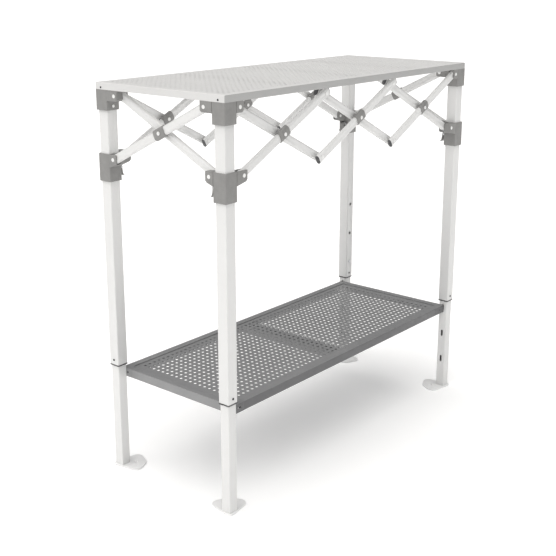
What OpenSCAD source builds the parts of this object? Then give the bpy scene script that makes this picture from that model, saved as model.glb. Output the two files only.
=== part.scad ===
// Camp kitchen table: a perforated worktop on a pop-up scissor frame with four
// telescopic legs and a hooked-in perforated shelf.
// Millimetres, +Z up, +X along the long side, origin on the floor under the middle.

/* [Overall] */
// Length of the worktop along X
table_w = 920; // [760:1:1110]
// Depth of the worktop along Y
table_d = 376; // [330:1:480]
// Height of the working surface above the floor
table_h = 900; // [860:1:1040]

/* [Legs] */
// Outside size of the square upper tube
upper_tube = 28; // [25:0.5:34]
// Outside size of the square lower tube
lower_tube = 24; // [20:0.5:24.4]
// Wall of both leg tubes
tube_wall = 1.2; // [1:0.1:1.5]
// Outside corner radius of the leg tubes
tube_corner_r = 2; // [1.6:0.1:2.5]
// Height of the upper tube's lower end above the floor
upper_tube_bottom = 256; // [252:1:290]
// Length of lower tube inside the upper tube
lower_tube_insert = 94; // [80:1:110]

/* [Leg adjustment] */
// Height of the lowest adjustment hole above the upper tube's end
first_hole_up = 47; // [40:1:60]
// Distance from one adjustment hole to the next
hole_pitch = 86; // [60:1:100]
// Number of adjustment holes
hole_count = 3; // [1:1:4]
// Radius of the snap button
button_r = 3.9; // [3:0.1:4.5]
// How far the button stands out of the upper tube
button_proud = 2.2; // [1.5:0.1:3]
// Thickness of the button's spring clip
clip_t = 0.8; // [0.6:0.1:1]
// Width of the clip
clip_w = 10; // [8:0.5:12]
// Length of the clip
clip_len = 42; // [30:1:50]
// Clip above the button's middle
clip_over = 8; // [6:0.5:10]
// Distance between the clip's two leaves
clip_bend = 6; // [4:0.5:8]
// Gap between the clip and the tube's wall
clip_gap = 0.2; // [0.1:0.1:0.4]
// Height of the plastic lip under the upper tube
bushing_lip = 3; // [2:0.5:5]
// How far the lip stands out past the tube
lip_out = 0.3; // [0:0.1:1]
// Width of the notch in the lip
notch = 4; // [3:0.5:6]
// Length of the plastic collar inside the upper tube
bushing_collar = 22; // [12:1:30]

/* [Corner brackets] */
// Wall of the socket around the leg
bracket_wall = 3.2; // [2.5:0.1:5]
// Height of the bracket
bracket_h = 44.5; // [40:0.5:60]
// Cap over the leg's upper end
bracket_cap = 3; // [2:0.5:4]
// Height of the ears that hold the scissor bars
ear_h = 23; // [22:0.5:28]
// Thickness of one ear plate
ear_plate = 4; // [3:0.5:5]
// Ear beyond the pivot
ear_past_pivot = 9.5; // [7:0.5:12]
// Cut at an ear's lower outer corner
ear_cut = 4; // [1:0.5:5]
// How much lower a slider's ear is where it meets the slider
ear_drop = 6; // [0:0.5:9]
// Pivot from the corner along the long side
top_pivot_x = 45.5; // [44:0.5:60]
// Pivot from the corner along the short side
top_pivot_y = 57; // [46:0.5:70]
// Pivot below the bracket's top
top_pivot_drop = 12; // [11:0.5:14]
// Height of the tenon that locates the worktop
tenon_h = 9; // [5:0.5:12]
// Side of the tenon
tenon_size = 26; // [20:1:28]

/* [Sliders] */
// Wall of the slider around the leg
slider_wall = 2.9; // [2.5:0.1:5]
// Height of the slider
slider_h = 61; // [54:1:70]
// Drop from the bracket's pivots to the slider's pivots
pivot_drop = 137.5; // [110:0.5:170]
// Pivot from the corner along the long side
slider_pivot_x = 55.5; // [46:0.5:70]
// Pivot from the corner along the short side
slider_pivot_y = 46; // [45:0.5:70]
// Pivot below the slider's top
slider_pivot_drop = 10.5; // [10:0.5:14]
// Height of the slider's ears
slider_ear_h = 23; // [21:0.5:26]

/* [Scissor bars] */
// Height of the flat-oval bar
bar_h = 20; // [16:0.5:22]
// Thickness of the flat-oval bar
bar_t = 10; // [8:0.5:12]
// Wall of the bar
bar_wall = 1; // [0.8:0.1:1.5]
// Number of crossings along each long side
long_crossings = 3; // [1:1:4]
// Gap between the two layers of bars
layer_gap = 3.6; // [3:0.1:5]
// Bar beyond a free joint's pivot
bar_past_joint = 12; // [11:0.5:16]
// Length of the sleeve at a crossing
sleeve_len = 32; // [26:1:40]
// Wall of the sleeve
sleeve_wall = 1.7; // [1.2:0.1:2.2]
// Flange of the plug in a bar's end
plug_flange = 1.5; // [1:0.5:2.5]
// Length of the plug inside the bar
plug_insert = 6; // [4:0.5:8]

/* [Latches] */
// Height of the latch pivot above the slider's foot
latch_pivot_up = 27; // [25:0.5:30]
// Distance from the latch pivot down to the locking peg
latch_arm = 15; // [13:0.5:17]
// Width of the lever
lever_w = 12; // [10:0.5:14]
// Length of the finger tab below the pivot
lever_tab = 21; // [16:0.5:24]
// Thickness of the finger tab
lever_tab_t = 3; // [2.5:0.5:4]
// Radius of the locking peg
peg_r = 2.2; // [1.8:0.1:2.6]
// Radius of the locking hole in the upper tube
lock_hole_r = 3.8; // [3.4:0.1:4.5]
// Distance of the latch pivot from the slider's face
latch_pivot_out = 5; // [4.5:0.5:7]
// Thickness of the cheeks beside the lever
cheek_t = 2.6; // [2:0.2:3.5]

// Radius of the latch pin
latch_pin_r = 1.5; // [1.2:0.1:1.8]
// Radius of the latch pin's heads
latch_head_r = 2.4; // [2:0.1:2.8]
// Height of the latch pin's heads
latch_head_h = 0.9; // [0.6:0.1:1.2]
// Radius of the lever's hub
hub_r = 3.6; // [3:0.1:4]
// Wire of the latch spring
spring_wire = 0.8; // [0.6:0.1:1]
// Radius of the spring's turns
spring_r = 2.6; // [2.3:0.1:2.8]
// Number of the spring's turns
spring_turns = 3; // [2:1:3]

/* [Worktop] */
// Height of the folded edge
top_rim_h = 15; // [12:0.5:20]
// Sheet thickness of the worktop
top_sheet = 1.5; // [1:0.1:2]
// Number of stiffening ribs
rib_count = 3; // [1:1:5]
// Width of a rib
rib_w = 30; // [20:1:40]
// Height of a rib
rib_h = 10; // [6:0.5:11]
// Sheet thickness of the ribs
rib_sheet = 1.2; // [1:0.1:2]

/* [Shelf] */
// Height of the shelf's upper face above the floor
shelf_top = 242; // [236:1:246]
// Height of the shelf's edge
shelf_h = 20; // [18:0.5:26]
// Width of the rail's flanges
rail_w = 18; // [12:0.5:22]
// Sheet thickness of the rails
rail_sheet = 1.5; // [1.2:0.1:2]
// Thickness of the shelf's perforated panels
panel_sheet = 1.2; // [1:0.1:1.5]
// How far a panel reaches under a rail's flange
panel_under = 5; // [3:0.5:7]
// Gap between the two panels
panel_seam = 2; // [1:0.5:4]
// Width of the channel beside the seam
cross_w = 44; // [30:1:60]
// Distance from the seam to the channel's nearer edge
cross_off = 4; // [0:1:20]
// Length of a corner piece along the long side
corner_x = 35; // [28:1:45]
// Length of a corner piece along the short side
corner_y = 30; // [24:1:45]
// Wall of a corner piece
corner_wall = 2.6; // [2:0.1:3]
// Width of the hook slot in the lower tube
slot_w = 6; // [5:0.5:7]
// Height of the hook slot in the lower tube
slot_h = 18; // [15:0.5:20]
// Distance between the hook slots
slot_pitch = 75; // [50:1:80]
// Number of hook slots
slot_count = 3; // [1:1:3]
// Thickness of the hook
hook_t = 5; // [4:0.5:6]
// Height of the hook where it passes the slot
hook_h = 10; // [8:0.5:12]
// Height of the hook's middle above the middle of the shelf's edge
hook_up = 2; // [0:0.5:3]
// How far the hook's lip hangs down behind the tube's wall
hook_lip = 4; // [2:0.5:5]

/* [Feet] */
// Thickness of the foot plate
foot_plate = 4; // [3:0.5:6]
// Length of the foot plate along the diagonal
foot_len = 75; // [70:1:85]
// Tip of the foot plate beyond the leg's corner, along each side
tip_out = 2.6; // [0:0.1:3]
// Greatest half width of the foot plate
foot_half_w = 37; // [33:1:42]
// Distance from the leg's corner to the peg hole along each side
peg_hole_in = 33; // [32:0.5:36]
// Radius of the ground peg hole
peg_hole_r = 4; // [3:0.5:5]
// Radius of the plate's narrow end
tip_r = 8; // [7:0.5:9]
// Radius of the plate's sides
side_r = 16; // [12:1:20]
// Radius of the plate's wide end
end_r = 20; // [16:1:24]
// Height of the plug inside the lower tube
foot_plug = 25; // [15:1:35]

/* [Fasteners and clearances] */
// Radius of the rivet shanks
rivet_r = 2.4; // [2:0.1:2.8]
// Radius of the rivet heads
rivet_head_r = 4.3; // [3.8:0.1:4.8]
// Height of the rivet heads
rivet_head_h = 1.2; // [0.8:0.1:1.3]
// Radius of the washers between the two layers of bars
washer_r = 6; // [5:0.5:7]
// Radial clearance of a rivet in its hole
rivet_clr = 0.1; // [0.05:0.05:0.3]
// Gap between a leg and what is fitted to it
fit_clr = 0.3; // [0.2:0.05:0.5]
// Gap between a plug or collar and the tube it is pressed into, over its whole width
plug_clr = 0.1; // [0.05:0.05:0.2]
// Gap between a bar and the ear that holds it
bar_clr = 0.4; // [0.3:0.1:0.8]
// Gap between a moving latch or button and what it passes
move_clr = 0.4; // [0.3:0.1:0.6]
// Radius of a small screw's shank
screw_r = 1.5; // [1.2:0.1:1.8]
// Radius of a small screw's head
screw_head_r = 2.6; // [2.2:0.1:3]
// Height of a small screw's head
screw_head_h = 0.9; // [0.6:0.1:1.2]

/* [Hidden] */
$fn = 48;
eps = 0.01;

// Corners, as [side along X, side along Y]; a corner's own frame starts at the outer
// vertical edge, and both of its axes point to the table's middle.
FRONT_LEFT = [-1, -1];
FRONT_RIGHT = [1, -1];
BACK_LEFT = [-1, 1];
BACK_RIGHT = [1, 1];
CORNERS = [FRONT_LEFT, FRONT_RIGHT, BACK_LEFT, BACK_RIGHT];

// Heights
bracket_top = table_h - top_rim_h;
bracket_bottom = bracket_top - bracket_h;
top_pivot_z = bracket_top - top_pivot_drop;
slider_pivot_z = top_pivot_z - pivot_drop;
slider_top = slider_pivot_z + slider_pivot_drop;
slider_bottom = slider_top - slider_h;
latch_z = slider_bottom + latch_pivot_up;
peg_z = latch_z - latch_arm;
upper_tube_top = bracket_top - bracket_cap - fit_clr;
button_z = upper_tube_bottom + first_hole_up;
lower_tube_top = upper_tube_bottom + lower_tube_insert;
hook_z = shelf_top - shelf_h / 2 - hook_h / 2 + hook_up;

// Plan of one corner, from its outer vertical edge
bracket_size = upper_tube + 2 * (bracket_wall + fit_clr);
leg_c = bracket_size / 2;
slider_size = upper_tube + 2 * (slider_wall + fit_clr);
slider_face = leg_c + slider_size / 2;
lower_face = leg_c + lower_tube / 2;
foot_corner = leg_c - lower_tube / 2;

// Depths of the two layers of bars from the bracket's outer face
outer_layer = ear_plate + bar_clr + bar_t / 2;
inner_layer = outer_layer + bar_t + layer_gap;

// Scissor geometry
long_step = (table_w - top_pivot_x - slider_pivot_x) / long_crossings;
short_step = table_d - top_pivot_y - slider_pivot_y;
slider_x = slider_pivot_x - table_w / 2;
bracket_x = top_pivot_x - table_w / 2;
sleeve_t = bar_t + 2 * sleeve_wall + bar_clr;

// Shelf
shelf_face = leg_c - hook_t / 2;
shelf_end = lower_face + fit_clr;
shelf_half_x = table_w / 2 - shelf_end;
shelf_half_y = table_d / 2 - shelf_face;
shelf_bottom = shelf_top - shelf_h;
panel_top = shelf_top - rail_sheet - fit_clr;
panel_half_x = shelf_half_x - rail_w + panel_under;
panel_half_y = shelf_half_y - rail_w + panel_under;

// ---------- shapes ----------

// Square with exact round corners
module round_square(size, r) {
  square([size, size - 2 * r], center = true);
  square([size - 2 * r, size], center = true);
  for (sx = [-1, 1], sy = [-1, 1])
    translate([sx * (size / 2 - r), sy * (size / 2 - r)]) circle(r);
}

// Square tube standing on z = 0
module square_tube(size, length) {
  inner_r = max(tube_corner_r - tube_wall, 0.4);
  difference() {
    linear_extrude(length) round_square(size, tube_corner_r);
    translate([0, 0, -1]) linear_extrude(length + 2)
      round_square(size - 2 * tube_wall, inner_r);
  }
}

// Stadium, long along Y
module stadium(width, height) {
  square([width, height - width], center = true);
  for (s = [-1, 1]) translate([0, s * (height - width) / 2]) circle(width / 2);
}

// Cylinder whose axis points along +Y from y = 0
module rod_y(r, length) {
  rotate([-90, 0, 0]) cylinder(r = r, h = length);
}

// Cylinder whose axis points along +X from x = 0
module rod_x(r, length) {
  rotate([0, 90, 0]) cylinder(r = r, h = length);
}

// Places a child, drawn in a corner's own frame, at that corner
module at_corner(c) {
  translate([c.x * table_w / 2, c.y * table_d / 2, 0])
    mirror([c.x > 0 ? 1 : 0, 0, 0]) mirror([0, c.y > 0 ? 1 : 0, 0]) children();
}

// Swaps a corner's two sides, so that a shape drawn for the long side is on the short side
module swap_sides() {
  mirror([1, -1, 0]) children();
}

// Places a child, drawn with +X out of the leg's face, on a face of the leg:
// 0 inner face across X, 1 inner face across Y, 2 outer face across X, 3 outer face across Y
module on_leg_face(face) {
  translate([leg_c, leg_c, 0]) rotate(face * 90) children();
}

// ---------- where each corner has its details ----------

function is_left(c) = c.x < 0;
function is_front(c) = c.y < 0;
// Layer of the bar held by the bracket and by the slider, along the long side
function bracket_long_layer(c) = is_left(c) == is_front(c) ? inner_layer : outer_layer;
function slider_long_layer(c) = is_left(c) == is_front(c) ? outer_layer : inner_layer;
// The same along the short side
function bracket_short_layer(c) = is_left(c) == is_front(c) ? outer_layer : inner_layer;
function slider_short_layer(c) = is_left(c) == is_front(c) ? inner_layer : outer_layer;
// Faces of the leg with the latch, with the snap button and with the bushing's screw
function latch_face(c) = is_front(c) ? 1 : 0;
function button_face(c) = c == BACK_LEFT ? 0 : 1;
function bushing_face(c) = c == BACK_LEFT ? 2 : (is_front(c) ? 3 : 1);

// ---------- worktop ----------

module top_panel() {
  color("#c9c8c6") difference() {
    translate([-table_w / 2, -table_d / 2, bracket_top]) cube([table_w, table_d, top_rim_h]);
    translate([-table_w / 2 + top_sheet, -table_d / 2 + top_sheet, bracket_top - 1])
      cube([table_w - 2 * top_sheet, table_d - 2 * top_sheet, top_rim_h + 1 - top_sheet]);
    for (c = CORNERS) at_corner(c) translate([-1, leg_c, bracket_top + tenon_h / 2])
      rod_x(screw_r + rivet_clr, top_sheet + 2);
  }
}

module top_ribs() {
  rib_z = table_h - top_sheet - rib_h;
  rib_len = table_d - 2 * top_sheet - 2 * fit_clr;
  color("#a8a8a6") for (i = [1:rib_count])
    translate([(i / (rib_count + 1) - 0.5) * table_w, 0, rib_z]) difference() {
      translate([-rib_w / 2, -rib_len / 2, 0]) cube([rib_w, rib_len, rib_h]);
      translate([-rib_w / 2 + rib_sheet, -rib_len / 2 - 1, rib_sheet])
        cube([rib_w - 2 * rib_sheet, rib_len + 2, rib_h]);
    }
}

// ---------- brackets and sliders ----------

// Depth of an ear that holds a bar in the given layer
function ear_depth(layer) = layer + bar_t / 2 + bar_clr + ear_plate;

// Ear along the long side, from the socket's face to past the pivot. Its underside falls
// by drop towards the socket, and its lower outer corner is cut.
module ear(start, pivot, layer, top, height, drop) {
  end = pivot + ear_past_pivot;
  translate([0, ear_depth(layer), 0]) rotate([90, 0, 0]) linear_extrude(ear_depth(layer))
    polygon([
      [start - eps, top],
      [end, top],
      [end, top - height + ear_cut],
      [end - ear_cut, top - height],
      [start - eps, top - height - drop]
    ]);
}

// Slot for the bar in an ear; from_z and to_z give its open height
module ear_slot(start, pivot, layer, from_z, to_z) {
  slot = bar_t + 2 * bar_clr;
  translate([start, layer - slot / 2, from_z])
    cube([pivot - start + ear_past_pivot + 1, slot, to_z - from_z]);
}

// Rivet hole through an ear, with a recess for the head on the outer face
module ear_bore(pivot, z, layer) {
  translate([pivot, -1, z]) rod_y(rivet_r + rivet_clr, ear_depth(layer) + 2);
  translate([pivot, -1, z]) rod_y(rivet_head_r + rivet_clr, rivet_head_h + 1);
}

module top_bracket(c) {
  slot_start = max(bracket_size - bracket_wall + fit_clr, top_pivot_x - bar_h / 2 - bar_clr);
  color("#8c8c8a") at_corner(c) difference() {
    union() {
      translate([leg_c, leg_c, bracket_bottom]) linear_extrude(bracket_h)
        round_square(bracket_size, tube_corner_r);
      ear(bracket_size, top_pivot_x, bracket_long_layer(c), bracket_top, ear_h, 0);
      swap_sides() ear(bracket_size, top_pivot_y, bracket_short_layer(c), bracket_top, ear_h, 0);
      translate([leg_c - tenon_size / 2, leg_c - tenon_size / 2, bracket_top - eps])
        cube([tenon_size, tenon_size, tenon_h + eps]);
    }
    translate([leg_c, leg_c, bracket_bottom - 1])
      linear_extrude(bracket_h + 1 - bracket_cap)
        round_square(upper_tube + 2 * fit_clr, tube_corner_r);
    ear_slot(slot_start, top_pivot_x, bracket_long_layer(c),
      bracket_top - ear_h - 1, top_pivot_z + bar_h / 2 + bar_clr);
    ear_bore(top_pivot_x, top_pivot_z, bracket_long_layer(c));
    swap_sides() {
      ear_slot(max(bracket_size + 1, top_pivot_y - bar_h), top_pivot_y, bracket_short_layer(c),
        bracket_top - ear_h - 1, top_pivot_z + bar_h / 2 + bar_clr);
      ear_bore(top_pivot_y, top_pivot_z, bracket_short_layer(c));
    }
    on_leg_face(1) translate([upper_tube / 2 - tube_wall, 0, bracket_bottom + bracket_h / 5])
      rod_x(rivet_r + rivet_clr, bracket_wall + 4);
    translate([leg_c - tenon_size / 2 - 1, leg_c, bracket_top + tenon_h / 2])
      rod_x(screw_r + rivet_clr, 9);
  }
}

module slider(c) {
  slot_top = slider_top + 1;
  face = slider_size / 2;
  cheek_in = lever_w / 2 + move_clr;
  cheek_out = latch_pivot_out + 4.5;
  cheek_drop = latch_arm + peg_r + 2;
  color("#8c8c8a") at_corner(c) difference() {
    union() {
      translate([leg_c, leg_c, slider_bottom]) linear_extrude(slider_h)
        round_square(slider_size, tube_corner_r);
      translate([0, leg_c - slider_size / 2, 0])
        ear(slider_face, slider_pivot_x, slider_long_layer(c) - leg_c + slider_size / 2,
          slider_top, slider_ear_h, ear_drop);
      swap_sides() translate([0, leg_c - slider_size / 2, 0])
        ear(slider_face, slider_pivot_y, slider_short_layer(c) - leg_c + slider_size / 2,
          slider_top, slider_ear_h, ear_drop);
      // cheeks beside the latch lever, round at the pivot
      on_leg_face(latch_face(c)) for (s = [-1, 1]) translate([0, s * (cheek_in + cheek_t / 2), 0]) {
        translate([face - 1, -cheek_t / 2, latch_z - cheek_drop])
          cube([latch_pivot_out - 1, cheek_t, cheek_drop]);
        translate([face + latch_pivot_out, -cheek_t / 2, latch_z])
          rod_y(cheek_out - latch_pivot_out, cheek_t);
        translate([face - 1, -cheek_t / 2, latch_z - (cheek_out - latch_pivot_out)])
          cube([latch_pivot_out + 1, cheek_t, 2 * (cheek_out - latch_pivot_out)]);
      }
    }
    translate([leg_c, leg_c, slider_bottom - 1]) linear_extrude(slider_h + 2)
      round_square(upper_tube + 2 * fit_clr, tube_corner_r);
    ear_slot(max(slider_face + 0.5, slider_pivot_x - bar_h), slider_pivot_x, slider_long_layer(c),
      slider_pivot_z - bar_h / 2 - bar_clr, slot_top);
    ear_bore(slider_pivot_x, slider_pivot_z, slider_long_layer(c));
    swap_sides() {
      ear_slot(max(slider_face - slider_wall + 0.1, slider_pivot_y - bar_h / 2 - bar_clr),
        slider_pivot_y, slider_short_layer(c), slider_pivot_z - bar_h / 2 - bar_clr, slot_top);
      ear_bore(slider_pivot_y, slider_pivot_z, slider_short_layer(c));
    }
    // window for the locking peg, and the bore of the latch pin
    on_leg_face(latch_face(c)) {
      translate([face - slider_wall - 1, -peg_r - move_clr, peg_z - 3 * peg_r])
        cube([slider_wall + 2, 2 * (peg_r + move_clr), 5 * peg_r]);
      translate([face + latch_pivot_out, -slider_size / 2, latch_z])
        rod_y(latch_pin_r + rivet_clr, slider_size);
    }
  }
}

// ---------- latches ----------

// Side view of the finger tab: it hangs from the hub, clear of the spring, and curls out
module finger_tab() {
  start = spring_r + spring_wire / 2 + 2 * rivet_clr;
  curl = lever_tab_t / 2;
  polygon([
    [start, curl],
    [start + lever_tab_t, curl],
    [start + lever_tab_t + curl, -lever_tab / 2],
    [start + 2 * lever_tab_t, -lever_tab + lever_tab_t + curl],
    [start + 3 * lever_tab_t, -lever_tab + lever_tab_t],
    [start + 3 * lever_tab_t, -lever_tab + curl],
    [start + lever_tab_t + curl, -lever_tab + curl],
    [start + curl, -lever_tab / 2],
    [start, -curl]
  ]);
}

// Lever with its finger tab, its hub and the peg that locks the slider to the leg
module latch_lever(c) {
  face = slider_size / 2;
  hub_len = lever_w * 0.7;
  peg_len = latch_pivot_out + slider_wall + fit_clr + tube_wall;
  color("#6f7072") at_corner(c) on_leg_face(latch_face(c))
    translate([face + latch_pivot_out, 0, latch_z]) difference() {
      union() {
        translate([0, -lever_w / 2, 0]) rod_y(hub_r, hub_len);
        translate([0, lever_w / 2, 0]) rotate([90, 0, 0]) linear_extrude(lever_w) finger_tab();
        translate([-lever_tab_t / 2, -lever_w / 2, -latch_arm - peg_r - 1])
          cube([lever_tab_t, hub_len, latch_arm]);
        translate([-peg_len, 0, -latch_arm]) rod_x(peg_r, peg_len);
      }
      translate([0, -lever_w, 0]) rod_y(latch_pin_r + rivet_clr, 2 * lever_w);
    }
}

module latch_pins() {
  pin_len = lever_w + 2 * (move_clr + cheek_t);
  color("#d8d8d8") for (c = CORNERS) at_corner(c) on_leg_face(latch_face(c))
    translate([slider_size / 2 + latch_pivot_out, -pin_len / 2, latch_z]) {
      translate([0, -eps, 0]) rod_y(latch_pin_r, pin_len + 2 * eps);
      translate([0, pin_len, 0]) rod_y(latch_head_r, latch_head_h);
      translate([0, -latch_head_h, 0]) rod_y(latch_head_r, latch_head_h);
    }
}

// Three close turns of wire around each latch pin, beside the lever's hub
module latch_springs() {
  turn_step = spring_wire - 2 * eps;
  color("#b8bbc0") for (c = CORNERS) at_corner(c) on_leg_face(latch_face(c))
    translate([slider_size / 2 + latch_pivot_out, lever_w * 0.2 + spring_wire, latch_z])
      for (i = [0:spring_turns - 1]) translate([0, i * turn_step, 0]) rotate([-90, 0, 0])
        rotate_extrude() translate([spring_r, 0]) circle(spring_wire / 2, $fn = 16);
}

// ---------- legs ----------

module upper_leg(c) {
  color("#f2f2f0") at_corner(c) difference() {
    translate([leg_c, leg_c, upper_tube_bottom])
      square_tube(upper_tube, upper_tube_top - upper_tube_bottom);
    on_leg_face(button_face(c)) for (i = [0:hole_count - 1])
      translate([lower_tube / 2, 0, button_z + i * hole_pitch])
        rod_x(button_r + move_clr, upper_tube);
    on_leg_face(latch_face(c)) translate([lower_tube / 2 - 1, 0, peg_z])
      rod_x(lock_hole_r, upper_tube);
    on_leg_face(1) translate([lower_tube / 2 - 1, 0, bracket_bottom + bracket_h / 5])
      rod_x(rivet_r + rivet_clr, upper_tube);
    on_leg_face(bushing_face(c))
      translate([lower_tube / 2 - 1, 0, upper_tube_bottom + bushing_collar / 2])
        rod_x(screw_r + rivet_clr, upper_tube);
  }
}

module lower_leg(c) {
  color("#f2f2f0") at_corner(c) difference() {
    translate([leg_c, leg_c, foot_plate]) square_tube(lower_tube, lower_tube_top - foot_plate);
    on_leg_face(button_face(c)) translate([lower_tube / 4, 0, button_z])
      rod_x(button_r + move_clr, upper_tube);
    on_leg_face(0) for (i = [0:slot_count - 1])
      translate([lower_tube / 4, 0, hook_z + slot_h / 2 - slot_w / 2 - i * slot_pitch]) {
        translate([0, -slot_w / 2, -slot_h / 2 + slot_w / 2])
          cube([lower_tube, slot_w, slot_h - slot_w]);
        for (s = [-1, 1]) translate([0, 0, s * (slot_h - slot_w) / 2])
          rod_x(slot_w / 2, lower_tube);
      }
  }
}

// Spring clip inside the lower tube with the button that locks the two tubes
module snap_button(c) {
  wall_in = lower_tube / 2 - tube_wall;
  reach = upper_tube / 2 + button_proud - wall_in + move_clr + 1;
  outer = -clip_t - clip_gap;
  color("#dcdcdc") at_corner(c) on_leg_face(button_face(c))
    translate([wall_in - move_clr, 0, button_z]) {
      translate([-1, 0, 0]) {
        rod_x(button_r, reach - 1);
        translate([reach - 1, 0, 0]) rotate([0, 90, 0])
          cylinder(r1 = button_r, r2 = button_r - 1, h = 1);
      }
      translate([outer, -clip_w / 2, clip_over - clip_len]) cube([clip_t, clip_w, clip_len]);
      translate([outer - clip_bend, -clip_w / 2, clip_over - clip_len])
        cube([clip_bend, clip_w, clip_t]);
      translate([outer - clip_bend, -clip_w / 2, clip_over - clip_len])
        cube([clip_t, clip_w, clip_len / 2]);
    }
}

// Plastic lip and inner collar at the lower end of each upper tube
module leg_bushings() {
  bore = lower_tube + fit_clr;
  collar = upper_tube - 2 * tube_wall - plug_clr;
  color("#77787a") for (c = CORNERS) at_corner(c)
    difference() {
      translate([leg_c, leg_c, 0]) difference() {
        union() {
          translate([0, 0, upper_tube_bottom - bushing_lip]) linear_extrude(bushing_lip)
            round_square(upper_tube + 2 * lip_out, tube_corner_r);
          translate([0, 0, upper_tube_bottom - eps]) linear_extrude(bushing_collar)
            round_square(collar, 1);
        }
        translate([0, 0, upper_tube_bottom - bushing_lip - 1])
          linear_extrude(bushing_collar + bushing_lip + 2) round_square(bore, tube_corner_r);
      }
      on_leg_face(c == BACK_LEFT ? 1 : (is_left(c) ? 2 : 0))
        translate([lower_tube / 2 + 0.5, -notch / 2, upper_tube_bottom - bushing_lip - 1])
          cube([upper_tube, notch, bushing_lip + 1 - eps]);
      on_leg_face(bushing_face(c))
        translate([lower_tube / 4, 0, upper_tube_bottom + bushing_collar / 2])
          rod_x(screw_r + rivet_clr, upper_tube);
    }
}

// ---------- feet ----------

// Rounded plate with its narrow end under the leg's outer corner
module foot(c) {
  plug = lower_tube - 2 * tube_wall - 2 * fit_clr;
  tip = foot_corner - tip_out;
  color("#eeeeec") at_corner(c) {
    difference() {
      translate([tip, tip, 0]) rotate(45) linear_extrude(foot_plate) hull() {
        translate([tip_r, 0]) circle(tip_r, $fn = 32);
        for (s = [-1, 1]) translate([foot_len * 0.69, s * (foot_half_w - side_r)])
          circle(side_r, $fn = 32);
        translate([foot_len - end_r, 0]) circle(end_r, $fn = 32);
      }
      translate([foot_corner + peg_hole_in, foot_corner + peg_hole_in, -1])
        cylinder(r = peg_hole_r, h = foot_plate + 2);
    }
    translate([leg_c, leg_c, foot_plate - eps]) linear_extrude(foot_plug) round_square(plug, 1);
  }
}

// ---------- scissor bars ----------

// Flat-oval bar from its first pivot at the origin along +X to its last pivot.
// ear_first and ear_last tell which ends are pressed flat to fit an ear, and share is
// where along the bar the crossing rivet goes.
module bar_shape(length, ear_first, ear_last, share) {
  start = ear_first ? 0 : -bar_past_joint;
  stop = ear_last ? length : length + bar_past_joint;
  difference() {
    union() {
      difference() {
        translate([start, 0, 0]) rotate([90, 0, 90]) linear_extrude(stop - start)
          stadium(bar_t, bar_h);
        translate([start - 1, 0, 0]) rotate([90, 0, 90]) linear_extrude(stop - start + 2)
          stadium(bar_t - 2 * bar_wall, bar_h - 2 * bar_wall);
      }
      if (ear_first) bar_end();
      if (ear_last) translate([length, 0, 0]) bar_end();
    }
    for (x = [0, length * share, length])
      translate([x, -bar_t, 0]) rod_y(rivet_r + rivet_clr, 2 * bar_t);
  }
}

// Closed round end of a bar
module bar_end() {
  translate([0, -bar_t / 2, 0]) rod_y(bar_h / 2, bar_t);
}

// Bar shape laid from [along, height] p to q
module laid(p, q) {
  translate([p[0], 0, p[1]]) rotate([0, -atan2(q[1] - p[1], q[0] - p[0]), 0]) children();
}

// Pivots of the rising bar i and the falling bar i along a long side, from 0
function rising_start(i) = [(i % 2 == 0 ? slider_x : bracket_x) + i * long_step, slider_pivot_z];
function rising_end(i) = [rising_start(i)[0] + long_step, top_pivot_z];
function falling_start(i) = [(i % 2 == 0 ? bracket_x : slider_x) + i * long_step, top_pivot_z];
function falling_end(i) = [falling_start(i)[0] + long_step, slider_pivot_z];
function span(p, q) = norm([q[0] - p[0], q[1] - p[1]]);
// Share of the rising bar i at which it meets the falling bar i, which it crosses at the rest
function cross_share(i) = 0.5 + (falling_start(i)[0] - rising_start(i)[0]) / (2 * long_step);
function point_on(p, q, share) = p + (q - p) * share;
function crossing(i) = point_on(rising_start(i), rising_end(i), cross_share(i));

// Places a child, drawn with y as the depth from the outer face, on a long side
module front_side(layer) {
  translate([0, -table_d / 2 + layer, 0]) children();
}
module back_side(layer) {
  translate([0, table_d / 2 - layer, 0]) children();
}
// The same on a short side, with the child's X along the table's Y
module left_side(layer) {
  translate([-table_w / 2 + layer, 0, 0]) rotate(90) children();
}
module right_side(layer) {
  translate([table_w / 2 - layer, 0, 0]) rotate(90) children();
}

module rising_bar(i) {
  laid(rising_start(i), rising_end(i))
    bar_shape(span(rising_start(i), rising_end(i)), i == 0, i == long_crossings - 1, cross_share(i));
}
module falling_bar(i) {
  laid(falling_start(i), falling_end(i))
    bar_shape(span(falling_start(i), falling_end(i)), i == 0, i == long_crossings - 1,
      1 - cross_share(i));
}

// Pivots of the two bars of a short side, in the table's Y
to_front_low = [table_d / 2 - slider_pivot_y, slider_pivot_z];
to_front_high = [top_pivot_y - table_d / 2, top_pivot_z];
to_back_low = [slider_pivot_y - table_d / 2, slider_pivot_z];
to_back_high = [table_d / 2 - top_pivot_y, top_pivot_z];

// Share of either short bar, from its low end, at which the two cross
short_share = (to_front_low[0] - to_back_low[0]) / (2 * short_step);
short_crossing = point_on(to_front_low, to_front_high, short_share);

module short_bar(p, q) {
  laid(p, q) bar_shape(span(p, q), true, true, short_share);
}

module white() {
  color("#f0f0ee") children();
}

// ---------- what is on the bars ----------

// Sleeve around a bar at a crossing
module sleeve() {
  height = bar_h + 2 * sleeve_wall + bar_clr;
  difference() {
    translate([-sleeve_len / 2, 0, 0]) rotate([90, 0, 90]) linear_extrude(sleeve_len)
      stadium(sleeve_t, height);
    translate([-sleeve_len / 2 - 1, 0, 0]) rotate([90, 0, 90]) linear_extrude(sleeve_len + 2)
      stadium(bar_t + bar_clr, bar_h + bar_clr);
    translate([0, -sleeve_t, 0]) rod_y(rivet_r + rivet_clr, 2 * sleeve_t);
  }
}

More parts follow.
